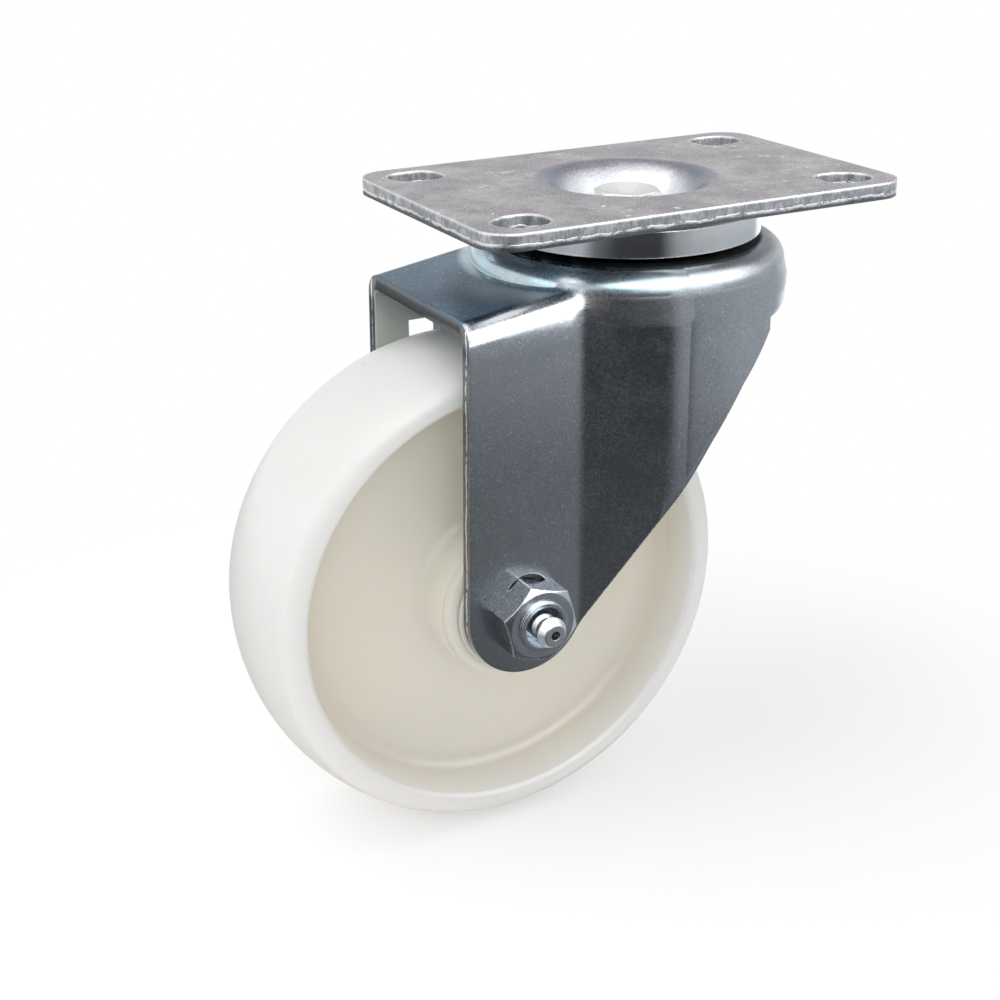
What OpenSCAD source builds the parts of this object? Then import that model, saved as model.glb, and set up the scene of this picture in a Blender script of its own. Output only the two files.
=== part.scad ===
// Swivel castor: a pressed steel fork under a bolt-on plate, with two rows of balls and a solid nylon wheel.
// The origin is the middle of the plate's top face, on the swivel axis. Z points up, the plate is long
// along X, and the wheel's axle lies along Y, trailing towards -X.

/* [Top plate] */
// Length of the plate along X
plate_l = 92.1; // [86:0.1:110]
// Width of the plate along Y
plate_w = 60.3; // [57:0.1:80]
// Thickness of the plate's sheet
plate_t = 3.2; // [2.6:0.1:4]
// Corner radius of the plate
plate_corner_r = 6.5; // [3:0.5:9]
// Slot centre to slot centre along X
slot_pitch_x = 72.2; // [68:0.1:74]
// Slot centre to slot centre along Y
slot_pitch_y = 44.4; // [43:0.1:46]
// Width of a bolt slot
slot_w = 8.74; // [7:0.01:9]
// How far a bolt can slide in its slot
slot_travel = 2.4; // [1:0.1:4]
// How far the slot's inner corner is relieved towards the swivel axis
slot_relief = 1.4; // [0.5:0.1:2]
// Radius of the dish at the plate's top face
dish_rim_r = 18; // [17:0.1:18.6]
// Depth of the dish
dish_depth = 5.9; // [5:0.1:6.4]
// Rolled radius at the rim of the dish
dish_lip_r = 4; // [3.9:0.1:4.6]
// Radius between the dish's wall and its floor
dish_floor_r = 2; // [1:0.1:2.4]

/* [Swivel bearing] */
// Outside radius of the upper race's lip
race_r = 26.5; // [26:0.1:27.2]
// Thickness of the upper race's flange
race_t = 2.9; // [2.3:0.1:3.2]
// Depth of the grooves that the load balls run in
load_groove = 0.4; // [0.2:0.05:0.6]
// Thickness of the upper race's lip
race_lip_t = 2.2; // [1.6:0.1:2.5]
// How far the lip hangs below the plate
race_lip_h = 6.5; // [6:0.1:7]
// Diameter of a load ball
load_ball_d = 6.35; // [6:0.05:6.6]
// Diameter of a thrust ball
thrust_ball_d = 4.76; // [4:0.01:5.2]
// Radius of the ring of thrust balls
thrust_pitch_r = 12.4; // [12:0.1:13]
// Depth of the groove that the thrust balls run in
thrust_groove = 0.5; // [0.2:0.05:0.8]
// Running clearance between a ball and its race
ball_gap = 0.05; // [0.02:0.01:0.1]
// Thickness of the lower race
lower_race_t = 2.4; // [1.8:0.1:3]
// Outside radius of the lower race's neck
neck_r = 8; // [7.2:0.1:8.4]

/* [Kingpin] */
// Diameter of the kingpin's shank
pin_d = 9.5; // [8:0.1:10]
// Width across the flats of the kingpin's head
pin_head_af = 12; // [11.5:0.1:14]
// Height of the kingpin's head
pin_head_h = 3.8; // [3:0.1:4.5]
// Width across the flats of the kingpin's nut
pin_nut_af = 15.9; // [14:0.1:17]
// Height of the kingpin's nut
pin_nut_h = 7; // [5:0.1:8]
// How far the kingpin stands out of its nut
pin_end = 1.6; // [0.5:0.1:2.5]

/* [Fork] */
// Thickness of the fork's sheet
fork_t = 2.8; // [2.3:0.1:3.2]
// Gap between the two legs at the axle
fork_gap = 39; // [38.4:0.1:41]
// Largest radius of the round crown
crown_r = 32; // [31.6:0.1:33]
// Radius of the crown's shoulder
shoulder_r = 4.2; // [3.6:0.1:4.6]
// Depth of the skirt at the front of the crown, below the crown's top
skirt_h = 14.1; // [13.4:0.1:16]
// Radius of the skirt's rolled lower edge
skirt_edge_r = 2.4; // [1.5:0.1:2.8]
// Depth of the crown's bulge on the sides, below the crown's top
bulge_h = 8.7; // [8:0.1:10]
// How far the side walls are set in from the crown
wall_inset = 0.8; // [0.4:0.1:1.2]
// X of the vertical bend between the flat leg and the slanting panel
bend_x = -23.2; // [-24:0.1:-21]
// X of the vertical ridge between the slanting panel and the round wall
ridge_x = -5.2; // [-7:0.1:-3]
// Bend radius outside, between the flat leg and the slanting panel
bend_r = 4; // [2:0.5:6]
// Bend radius outside, at the ridge
ridge_r = 13; // [8:0.5:16]
// How far the front skirt's round axis lies in front of the swivel axis
skirt_shift = 1; // [0.6:0.1:1.4]
// X of the web's open edge at its top
web_edge_x = -46.5; // [-47.5:0.1:-45]
// Height of the web's top face where it meets the crown, below the plate's top
web_top_h = 14.3; // [13.8:0.1:15]
// Slope of the web, in degrees
web_slope = 9; // [6:0.5:10]
// Bend radius outside, between the web and a leg
web_bend_r = 4; // [3.4:0.1:5]
// Radius of the round end of a leg
leg_end_r = 12.6; // [11.5:0.1:13.5]
// How far the axle hole reaches above the axle's own radius
axle_slot_rise = 3.6; // [2:0.1:4.5]
// X of the knee in a leg's front edge
knee_x = 0.5; // [-2:0.1:2.5]
// Depth of the knee below the skirt's edge
knee_drop = 20.65; // [18:0.05:23]
// X of the upper turn in a leg's front edge
turn_x = 8.3; // [6:0.1:10]
// Depth of the upper turn below the skirt's edge
turn_drop = 10.25; // [9:0.05:12]
// Width of the slot in the far leg
leg_slot_w = 6.8; // [4:0.1:8]
// Height of the slot in the far leg
leg_slot_h = 9; // [6:0.1:11]
// How far the slot's middle lies behind the axle
leg_slot_back = 1; // [0:0.1:3]
// Depth of the slot's top below the wheel's highest point
leg_slot_drop = 1.6; // [0.5:0.1:3]

/* [Wheel] */
// Radius of the wheel
wheel_r = 50.8; // [49.5:0.1:51.6]
// Width of the wheel across its side faces
wheel_w = 31.75; // [30:0.05:33]
// Running clearance between an end of the hub and its thrust washer
hub_gap = 0.5; // [0.3:0.05:1]
// Radius of the tread's crown, across the wheel
tread_crown_r = 40; // [36:1:60]
// Radius between the tread and the side face
tread_edge_r = 3.9; // [3:0.1:5]
// Radius of the recess at its rim
recess_r = 43.2; // [42:0.1:43.8]
// Depth of the recess below the side face
recess_depth = 10.2; // [8:0.1:11]
// Radius of the hub at its end
hub_r = 15.2; // [14.6:0.1:16.5]
// How far the axle lies behind the swivel axis
lead = 35.1; // [34:0.1:36.5]
// Drop from the plate's top face to the wheel's highest point
wheel_drop = 27; // [26.2:0.1:30.4]

/* [Axle] */
// Diameter of the axle bolt
bolt_d = 9.53; // [9:0.01:9.6]
// Width across the flats of the bolt's head and nut
bolt_af = 14.29; // [13:0.01:15]
// Height of the bolt's head
bolt_head_h = 6.1; // [5:0.1:7]
// Height of the lock nut
lock_nut_h = 8.6; // [7:0.1:10]
// How far the bolt stands out of its nut
bolt_end = 1.6; // [0.5:0.1:3]
// Outside diameter of the sleeve that the rollers turn on
sleeve_d = 12.7; // [12.2:0.1:13]
// Diameter of a roller
roller_d = 3.97; // [3.5:0.01:4]
// Length of a roller
roller_l = 25; // [20:0.5:26]
// Number of rollers
roller_count = 10; // [8:1:10]
// Wall of the bearing shell
shell_t = 1; // [0.8:0.1:1.3]
// Thickness of a thrust washer
washer_t = 1; // [0.6:0.1:1.1]
// Thickness of a bearing seal
seal_t = 2; // [1.5:0.1:2.5]

/* [Grease fitting] */
// Radius of the fitting's body
fitting_r = 2.7; // [2.5:0.1:3]
// Radius of the fitting's head
fitting_head_r = 3.1; // [2.9:0.1:3.4]
// Radius of the recess round the fitting
recess_in_head_r = 4.1; // [3.8:0.1:4.4]
// How far the fitting stands out of the bolt's head
fitting_out = 5; // [4:0.1:6]

/* [Hidden] */
$fn = 96;

// Clearance of a screwed or pressed piece round its shank
fit_gap = 0.05;
// Running clearance of a roller
roller_gap = 0.05;
// Clearance of a pressed piece in its seat
press_gap = 0.02;
// Clearance round the dish in the race's bore
race_bore_gap = 0.3;
// Clearance of the axle bolt in the legs
leg_hole_gap = 0.1;
// Room past a face that a cut runs through
cut = 1;
// Reach of a cut that clears the whole castor
far = 80;

// Heights of the swivel bearing, from the plate's top face down
dish_floor_z = -dish_depth;
dish_under_z = dish_floor_z - plate_t;
flange_under_z = -plate_t - race_t;
load_ball_r = load_ball_d / 2;
load_ball_z = flange_under_z + load_groove - ball_gap - load_ball_r;
load_pitch_r = race_r - race_lip_t - load_ball_r - 2 * ball_gap;
load_count = floor(2 * PI * load_pitch_r / (load_ball_d + 0.15));
groove_r = load_ball_r + ball_gap;
crown_top_z = load_ball_z - groove_r + 2 * load_groove;
crown_under_z = crown_top_z - fork_t;
thrust_ball_r = thrust_ball_d / 2;
thrust_ball_z = crown_under_z - ball_gap - thrust_ball_r;
thrust_count = floor(2 * PI * thrust_pitch_r / (thrust_ball_d + 0.15));
cup_floor_z = thrust_ball_z - thrust_ball_r - ball_gap + thrust_groove;
cup_under_z = cup_floor_z - lower_race_t;
crown_hole_r = neck_r + 0.7;

// Axle and wheel
axle_x = -lead;
axle_z = -wheel_drop - wheel_r;
leg_in_y = fork_gap / 2;
leg_out_y = leg_in_y + fork_t;
hub_l = fork_gap - 2 * (washer_t + hub_gap);
bolt_r = bolt_d / 2;
sleeve_r = sleeve_d / 2;
roller_r = roller_d / 2;
roller_pitch_r = sleeve_r + roller_gap + roller_r;
shell_in_r = roller_pitch_r + roller_r + roller_gap;
shell_out_r = shell_in_r + shell_t;
seal_r = shell_out_r + 1.2;
// Gap between an end of the bearing shell and a seal
shell_end_gap = 0.1;
// Clearance of a seal round the sleeve, and of a roller in its cage
seal_gap = 0.3;
cage_gap = 0.08;

module polar_copies(count) {
    for (i = [0 : count - 1])
        rotate([0, 0, i * 360 / count])
            children();
}

// Puts a piece that is modelled along Z on the axle, with its +Z along +Y
module on_axle() {
    translate([axle_x, 0, axle_z])
        rotate([-90, 0, 0])
            children();
}

// Hexagon with its corners cut by a shallow cone on top, and below too if both is true
module hex_block(af, h, both = false) {
    corner_r = af / 2 / cos(30);
    // The cone meets the end faces this far inside the flats
    end_r = af / 2 - 0.3;
    cone_r = corner_r + 0.2;
    rise = (corner_r - af / 2) * tan(30) + 0.3;
    intersection() {
        cylinder(r = corner_r, h = h, $fn = 6);
        rotate_extrude()
            polygon([
                [0, 0],
                [both ? end_r : cone_r + cut, 0],
                [cone_r, both ? rise : 0],
                [cone_r, h - rise],
                [end_r, h],
                [0, h]
            ]);
    }
}

// Top plate

module plate_outline() {
    for (sx = [-1, 1])
        for (sy = [-1, 1])
            translate([sx * (plate_l / 2 - plate_corner_r), sy * (plate_w / 2 - plate_corner_r)])
                circle(r = plate_corner_r);
    square([plate_l, plate_w - 2 * plate_corner_r], center = true);
    square([plate_l - 2 * plate_corner_r, plate_w], center = true);
}

// Bolt slot along X, with a relieved corner on the side towards +X and +Y
module slot_outline() {
    r = slot_w / 2;
    end_x = slot_travel / 2 + r;
    relief_r = slot_w * 0.42;
    for (sx = [-1, 1])
        translate([sx * slot_travel / 2, 0])
            circle(r = r);
    square([slot_travel, slot_w], center = true);
    translate([end_x - relief_r, slot_relief])
        circle(r = relief_r);
    polygon([
        [-slot_travel / 2 - r * 0.7, r * 0.7],
        [-slot_travel / 2, r + slot_relief * 0.4],
        [end_x - relief_r, relief_r + slot_relief],
        [end_x, slot_relief],
        [end_x, 0],
        [0, 0]
    ]);
}

// Half section of the dish's hollow, or of its outside one sheet further out
module dish_section(out) {
    lip_in = dish_lip_r - out;
    floor_r = dish_floor_r + out;
    floor_z = dish_floor_z - out;
    centre_z = dish_floor_z + dish_floor_r;
    // The wall runs at 45 degrees from the lip's arc to the floor's arc
    lip_x = dish_rim_r - lip_in * sin(45);
    lip_z = -dish_lip_r + lip_in * cos(45);
    centre_x = dish_rim_r - dish_lip_r * (sin(45) + cos(45) - 1) + dish_floor_z
        - dish_floor_r * tan(22.5);
    floor_x = centre_x + floor_r * sin(45);
    intersection() {
        union() {
            difference() {
                polygon([
                    [0, floor_z],
                    [centre_x, floor_z],
                    [floor_x, centre_z - floor_r * cos(45)],
                    [lip_x, lip_z],
                    [dish_rim_r, lip_in - dish_lip_r],
                    [dish_rim_r, cut],
                    [0, cut]
                ]);
                translate([dish_rim_r, -dish_lip_r])
                    circle(r = lip_in);
            }
            translate([centre_x, centre_z])
                circle(r = floor_r);
        }
        translate([0, floor_z - cut])
            square([dish_rim_r, cut - floor_z + cut]);
    }
}

module top_plate() {
    color("silver")
    difference() {
        union() {
            translate([0, 0, -plate_t])
                linear_extrude(height = plate_t)
                    plate_outline();
            intersection() {
                rotate_extrude()
                    dish_section(plate_t);
                translate([-far, -far, -far])
                    cube([2 * far, 2 * far, far - plate_t / 2]);
            }
        }
        rotate_extrude()
            dish_section(0);
        for (sx = [-1, 1])
            for (sy = [-1, 1])
                translate([sx * slot_pitch_x / 2, sy * slot_pitch_y / 2, -plate_t - cut])
                    linear_extrude(height = plate_t + 2 * cut)
                        mirror([sx > 0 ? 1 : 0, 0])
                            mirror([0, sy > 0 ? 1 : 0])
                                slot_outline();
        translate([0, 0, dish_under_z - cut])
            cylinder(r = pin_d / 2 + fit_gap, h = plate_t + 2 * cut);
    }
}

// Swivel bearing

module upper_race() {
    lip_under_z = -plate_t - race_lip_h;
    // The top corner is rounded in two steps
    corner = 1.6;
    corner_step = 0.5;
    color("gainsboro")
    rotate_extrude()
        difference() {
            polygon([
                [dish_rim_r + race_bore_gap, flange_under_z],
                [race_r - race_lip_t, flange_under_z],
                [race_r - race_lip_t, lip_under_z],
                [race_r, lip_under_z],
                [race_r, -plate_t - corner],
                [race_r - corner_step, -plate_t - corner_step],
                [race_r - corner, -plate_t],
                [dish_rim_r + race_bore_gap, -plate_t]
            ]);
            translate([load_pitch_r, load_ball_z])
                circle(r = groove_r);
        }
}

module load_balls() {
    color("dimgray")
    polar_copies(load_count)
        translate([load_pitch_r, 0, load_ball_z])
            sphere(r = load_ball_r);
}

module thrust_balls() {
    color("dimgray")
    polar_copies(thrust_count)
        translate([thrust_pitch_r, 0, thrust_ball_z])
            sphere(r = thrust_ball_r);
}

// Cup under the crown, with a neck that the kingpin clamps against the dish
module lower_race() {
    lip_in_r = thrust_pitch_r + thrust_ball_r + 0.4;
    lip_out_r = lip_in_r + lower_race_t;
    lip_top_z = crown_under_z - 1.2;
    chamfer = 1;
    color("darkgray")
    rotate_extrude()
        difference() {
            polygon([
                [pin_d / 2 + fit_gap, cup_under_z],
                [lip_out_r - chamfer, cup_under_z],
                [lip_out_r, cup_under_z + chamfer],
                [lip_out_r, lip_top_z],
                [lip_in_r, lip_top_z],
                [lip_in_r, cup_floor_z],
                [neck_r, cup_floor_z],
                [neck_r, dish_under_z],
                [pin_d / 2 + fit_gap, dish_under_z]
            ]);
            translate([thrust_pitch_r, thrust_ball_z])
                circle(r = thrust_ball_r + ball_gap);
        }
}

// Bolt with a dimpled hexagon head in the dish
module kingpin() {
    end_z = cup_under_z - pin_nut_h - pin_end;
    head_turn = 13;
    dimple_h = pin_head_h * 0.4;
    dimple_r = pin_head_af / 6;
    color("lightgray")
    union() {
        translate([0, 0, end_z])
            cylinder(r = pin_d / 2, h = dish_floor_z - end_z);
        translate([0, 0, dish_floor_z])
            rotate([0, 0, head_turn])
                difference() {
                    hex_block(pin_head_af, pin_head_h);
                    translate([0, 0, pin_head_h - dimple_h])
                        cylinder(r1 = dimple_r, r2 = pin_head_af / 2 / cos(30), h = dimple_h + 0.1);
                }
    }
}

module kingpin_nut() {
    color("gray")
    translate([0, 0, cup_under_z - pin_nut_h])
        difference() {
            hex_block(pin_nut_af, pin_nut_h, true);
            translate([0, 0, -cut])
                cylinder(r = pin_d / 2 + fit_gap, h = pin_nut_h + 2 * cut);
        }
}

// Fork: one pressed sheet, built as its outside less its inside

web_z0 = -web_top_h;
skirt_z = crown_top_z - skirt_h;
bulge_z = crown_top_z - bulge_h;
// The bulge runs into the side walls at 45 degrees
bulge_taper = 2.6;
wall_r = crown_r - wall_inset;
// The crown still widens by this much below its shoulder, down to full_r_z
shoulder_inset = 0.6;
shoulder_x = crown_r - shoulder_r - shoulder_inset;
shoulder_z = crown_top_z - shoulder_r;
full_r_z = shoulder_z - 2.5;
// The side walls end here, and the skirt goes on round the front
front_x = crown_r * 0.53;
// The skirt's revolve starts here, inside the side walls
skirt_from_x = 4;
// How much thinner the crown's sheet is under its ball groove
groove_thin = 0.4;
// How far the tops of the walls' outside and inside reach up into the bulge
wall_top_lap = 0.5;
hollow_top_lap = 0.9;
// Number of steps in the bend between the leg and the panel
bend_steps = 5;

// What rounding takes off an outward corner at x, z that points along sz
module corner_waste(x, z, r, sz) {
    difference() {
        translate([x - r, sz > 0 ? z - r : z - cut])
            square([r + cut, r + cut]);
        translate([x - r, z - sz * r])
            circle(r = r);
    }
}

// Half section of the crown's outside, down to the height where it's full, and on at 45 degrees
module crown_section(full_z) {
    difference() {
        polygon([
            [0, crown_top_z],
            [shoulder_x + shoulder_r, crown_top_z],
            [shoulder_x + shoulder_r, shoulder_z],
            [crown_r, full_r_z],
            [crown_r, full_z],
            [crown_r - bulge_taper, full_z - bulge_taper],
            [0, full_z - bulge_taper]
        ]);
        corner_waste(shoulder_x + shoulder_r, crown_top_z, shoulder_r, 1);
    }
}

// Half section of the skirt's outside about its own axis, with its rolled lower edge
module skirt_section() {
    r = crown_r - skirt_shift;
    difference() {
        translate([0, skirt_z])
            square([r, full_r_z - skirt_z]);
        corner_waste(r, skirt_z, skirt_edge_r, -1);
    }
}

// Half section of the crown's inside, one sheet further in, with the underside of the ball groove
module crown_hollow_section() {
    full_z = bulge_z + fork_t * tan(22.5);
    in_r = crown_r - fork_t;
    in_shoulder_r = shoulder_r - fork_t;
    difference() {
        polygon([
            [0, crown_under_z],
            [shoulder_x + in_shoulder_r, crown_under_z],
            [shoulder_x + in_shoulder_r, shoulder_z],
            [in_r, full_r_z],
            [in_r, full_z],
            [in_r - bulge_taper, full_z - bulge_taper],
            [0, full_z - bulge_taper]
        ]);
        corner_waste(shoulder_x + in_shoulder_r, crown_under_z, in_shoulder_r, 1);
        translate([load_pitch_r, load_ball_z])
            circle(r = groove_r + fork_t - groove_thin);
    }
}

// Plan of the side walls: flat legs, slanting panels and a round front. in is the inset of the surface.
panel_a = atan((sqrt(wall_r * wall_r - ridge_x * ridge_x) - leg_out_y) / (ridge_x - bend_x));
panel_n = [-sin(panel_a), cos(panel_a)];
panel_u = [cos(panel_a), sin(panel_a)];
// Distance from the swivel axis to the panel's outer face
panel_d = leg_out_y * cos(panel_a) - bend_x * sin(panel_a);
// Point of the panel's line nearest to the swivel axis
ridge_foot = panel_d * panel_n;
// Centres of the arcs at the bend and at the ridge
bend_c = [((leg_out_y + bend_r) * cos(panel_a) - panel_d - bend_r) / sin(panel_a), leg_out_y + bend_r];
// The ridge's arc stands out of the panel and the round wall by this much, so that it crosses both
ridge_over = 0.03;
ridge_depth = panel_d + ridge_over - ridge_r;
ridge_c = ridge_depth * panel_n
    + sqrt(pow(wall_r + ridge_over - ridge_r, 2) - pow(ridge_depth, 2)) * panel_u;

module wall_half_plan(in) {
    r = wall_r - in;
    leg_x = bend_c[0] - cut;
    // Where the panel's line would meet the round wall, and the way to the middle of the ridge
    ridge_point = ridge_foot + sqrt(r * r - pow(panel_d - in, 2)) * panel_u - in * panel_n;
    ridge_n = ridge_c / norm(ridge_c);
    difference() {
        union() {
            polygon([
                [leg_x, -cut],
                [leg_x, leg_out_y - in],
                for (i = [0 : bend_steps])
                    bend_c + (bend_r + in) * [sin(panel_a * i / bend_steps), -cos(panel_a * i / bend_steps)],
                ridge_point,
                [skirt_from_x, -cut]
            ]);
            intersection() {
                circle(r = r);
                translate([ridge_point[0], -cut])
                    square([far, far]);
            }
        }
        // Rounding at the ridge
        difference() {
            polygon([ridge_c, ridge_c + 2 * ridge_r * panel_n, ridge_c + 2 * ridge_r * ridge_n]);
            translate(ridge_c)
                circle(r = ridge_r - in);
        }
        translate([front_x - in / 2, -far])
            square([far, 2 * far]);
    }
}

module wall_plan(in) {
    wall_half_plan(in);
    mirror([0, 1])
        wall_half_plan(in);
}

// Cross-section of the channel that the web and the legs make, with round bends
module channel_section(in) {
    y = leg_out_y - in;
    r = web_bend_r - in;
    translate([-y, -far * 1.6])
        square([2 * y, far * 1.6 - in - r]);
    translate([-y + r, -far])
        square([2 * (y - r), far - in]);
    for (s = [-1, 1])
        translate([s * (y - r), -in - r])
            circle(r = r);
}

// Channel along X, tilted by the web's slope about the point where the web meets the crown
module channel(in, length) {
    into_crown = 8;
    translate([bend_x, 0, web_z0])
        rotate([0, -web_slope, 0])
            translate([-length, 0, 0])
                rotate([90, 0, 90])
                    linear_extrude(height = length + into_crown)
                        channel_section(in);
}

// Side view of what is kept of the walls: round leg ends, slanting front edges and the front skirt
module side_outline() {
    // The front edge leaves the round end at a tangent, turns at the knee and ends just under the skirt
    knee = [knee_x, skirt_z - knee_drop];
    reach = norm(knee - [axle_x, axle_z]);
    tangent_a = atan2(knee[1] - axle_z, knee[0] - axle_x) - acos(leg_end_r / reach);
    edge_end_z = skirt_z - 1.55;
    translate([axle_x, axle_z])
        circle(r = leg_end_r);
    polygon([
        [web_edge_x, 0],
        [axle_x - leg_end_r, axle_z],
        [axle_x, axle_z - leg_end_r * 0.5],
        [axle_x + leg_end_r * cos(tangent_a), axle_z + leg_end_r * sin(tangent_a)],
        knee,
        [turn_x, skirt_z - turn_drop],
        [front_x, edge_end_z],
        [front_x, edge_end_z - cut],
        [far, edge_end_z - cut],
        [far, 0]
    ]);
}

module in_front() {
    intersection() {
        children();
        translate([skirt_from_x, -far, -far])
            cube([far, 2 * far, far]);
    }
}

module fork_outside() {
    rotate_extrude()
        crown_section(bulge_z);
    in_front()
        translate([skirt_shift, 0, 0])
            rotate_extrude()
                skirt_section();
    translate([0, 0, bulge_z + wall_top_lap - far])
        linear_extrude(height = far)
            wall_plan(0);
    channel(0, far);
}

module fork_inside() {
    rotate_extrude()
        crown_hollow_section();
    in_front()
        translate([skirt_shift, 0, skirt_z - skirt_edge_r - cut])
            cylinder(r = crown_r - skirt_shift - fork_t, h = shoulder_z - skirt_z + skirt_edge_r + cut);
    translate([0, 0, bulge_z + hollow_top_lap - 2 * far])
        linear_extrude(height = 2 * far)
            wall_plan(fork_t);
    channel(fork_t, 2 * far);
}

module fork() {
    color("lightsteelblue")
    difference() {
        intersection() {
            union()
                fork_outside();
            rotate([90, 0, 0])
                linear_extrude(height = 2 * far, center = true)
                    side_outline();
        }
        fork_inside();
        rotate_extrude()
            translate([load_pitch_r, load_ball_z])
                circle(r = groove_r);
        translate([0, 0, -far])
            cylinder(r = crown_hole_r, h = far);
        rotate([90, 0, 0])
            linear_extrude(height = 2 * far, center = true)
                translate([axle_x, axle_z])
                    axle_slot_outline();
        translate([axle_x - leg_slot_back - leg_slot_w / 2, 0, axle_z + wheel_r - leg_slot_drop - leg_slot_h])
            cube([leg_slot_w, far, leg_slot_h]);
    }
}

// Upright slot that the axle passes through, with the axle in its lower end
module axle_slot_outline() {
    r = bolt_r + leg_hole_gap;
    circle(r = r);
    translate([0, axle_slot_rise])
        circle(r = r);
    translate([-r, 0])
        square([2 * r, axle_slot_rise]);
}

// Axle

// Radius of the grease's way through the bolt and the sleeve
grease_hole_r = 1.2;
// Depth of the recess in the bolt's head, and how far the fitting reaches past the head
head_recess_h = 4.2;
fitting_root_h = 2.8;

module axle_bolt() {
    head_turn = 16;
    rim_h = 0.8;
    rim_t = 0.9;
    end_chamfer = 0.8;
    far_end = leg_out_y + lock_nut_h + bolt_end;
    color("silver")
    on_axle()
        difference() {
            union() {
                translate([0, 0, -leg_out_y])
                    cylinder(r = bolt_r, h = leg_out_y + far_end - end_chamfer);
                translate([0, 0, far_end - end_chamfer])
                    cylinder(r1 = bolt_r, r2 = bolt_r - end_chamfer, h = end_chamfer);
                translate([0, 0, -leg_out_y])
                    mirror([0, 0, 1])
                        rotate([0, 0, head_turn])
                            hex_block(bolt_af, bolt_head_h);
                translate([0, 0, -leg_out_y - bolt_head_h - rim_h])
                    cylinder(r = recess_in_head_r + rim_t, h = rim_h + cut);
            }
            translate([0, 0, -leg_out_y - bolt_head_h - rim_h - cut])
                cylinder(r = recess_in_head_r, h = head_recess_h + rim_h + cut);
            translate([0, 0, -leg_out_y - bolt_head_h - cut])
                cylinder(r = fitting_r + fit_gap, h = bolt_head_h + cut + fitting_root_h + 0.2);
            translate([0, 0, -leg_out_y])
                cylinder(r = grease_hole_r, h = leg_out_y + grease_hole_r / 2);
            rotate([90, 0, 0])
                cylinder(r = grease_hole_r, h = bolt_r + cut);
        }
}

// Radial room for the locking ring in its nut, and the height of that room with the lip over it
lock_room_t = 1.2;
lock_room_h = 2.4;
lock_lip_h = 0.5;

module axle_lock_nut() {
    color("silver")
    on_axle()
        translate([0, 0, leg_out_y])
            difference() {
                union() {
                    hex_block(bolt_af, lock_nut_h - lock_room_h + 0.6);
                    cylinder(r = bolt_af / 2 - 0.5, h = lock_nut_h);
                }
                translate([0, 0, -cut])
                    cylinder(r = bolt_r + fit_gap, h = lock_nut_h + 2 * cut);
                translate([0, 0, lock_nut_h - lock_room_h])
                    cylinder(r = bolt_r + lock_room_t, h = lock_room_h - lock_lip_h);
            }
}

module nut_locking_ring() {
    h = lock_room_h - lock_lip_h - 2 * fit_gap;
    color("royalblue")
    on_axle()
        translate([0, 0, leg_out_y + lock_nut_h - lock_room_h + fit_gap])
            difference() {
                cylinder(r = bolt_r + lock_room_t - fit_gap, h = h);
                translate([0, 0, -cut])
                    cylinder(r = bolt_r + press_gap, h = h + 2 * cut);
            }
}

module axle_sleeve() {
    color("slategray")
    on_axle()
        difference() {
            translate([0, 0, -leg_in_y])
                cylinder(r = sleeve_r, h = fork_gap);
            translate([0, 0, -leg_in_y - cut])
                cylinder(r = bolt_r + fit_gap, h = fork_gap + 2 * cut);
            rotate([90, 0, 0])
                cylinder(r = grease_hole_r, h = sleeve_r + cut);
        }
}

module thrust_washer(side) {
    on_axle()
        translate([0, 0, side > 0 ? leg_in_y - washer_t : -leg_in_y])
            difference() {
                cylinder(r = hub_r - 2, h = washer_t);
                translate([0, 0, -cut])
                    cylinder(r = sleeve_r + fit_gap, h = washer_t + 2 * cut);
            }
}

module near_thrust_washer() {
    color("ivory")
    thrust_washer(-1);
}

module far_thrust_washer() {
    color("ivory")
    thrust_washer(1);
}

// Grease fitting in the bolt's head, with its check ball and spring

fitting_tip_y = -leg_out_y - bolt_head_h - fitting_out;
fitting_root_y = -leg_out_y + fitting_root_h;
// Radius of the valve's bore, and the depth of its seat below the fitting's tip
valve_r = 1.45;
valve_seat_h = 2.6;
valve_ball_r = 1.2;
spring_l = 5;

module grease_fitting() {
    waist_r = fitting_r - 0.6;
    mouth_r = 0.95;
    nose_r = fitting_head_r - 1;
    l = fitting_root_y - fitting_tip_y;
    color("lightgray")
    translate([axle_x, fitting_tip_y, axle_z])
        rotate([-90, 0, 0])
            rotate_extrude()
                polygon([
                    [mouth_r, 0],
                    [nose_r, 0],
                    [nose_r + 0.2, 0.2],
                    [fitting_head_r, 1.5],
                    [fitting_head_r, 2],
                    [waist_r, 3],
                    [waist_r, 3.9],
                    [fitting_r, 4.7],
                    [fitting_r, l],
                    [valve_r, l],
                    [valve_r, valve_seat_h],
                    [mouth_r, valve_seat_h - 0.6]
                ]);
}

module grease_check_ball() {
    color("white")
    translate([axle_x, fitting_tip_y + valve_seat_h + valve_ball_r * 0.72, axle_z])
        sphere(r = valve_ball_r, $fn = 32);
}

// Compression spring behind the check ball, drawn as the tube of its coils
module grease_spring() {
    color("gray")
    translate([axle_x, fitting_tip_y + valve_seat_h + valve_ball_r * 1.72 + press_gap, axle_z])
        rotate([-90, 0, 0])
            difference() {
                cylinder(r = valve_r - 0.15, h = spring_l);
                translate([0, 0, -cut])
                    cylinder(r = valve_r - 0.6, h = spring_l + 2 * cut);
            }
}

// Wheel

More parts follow.
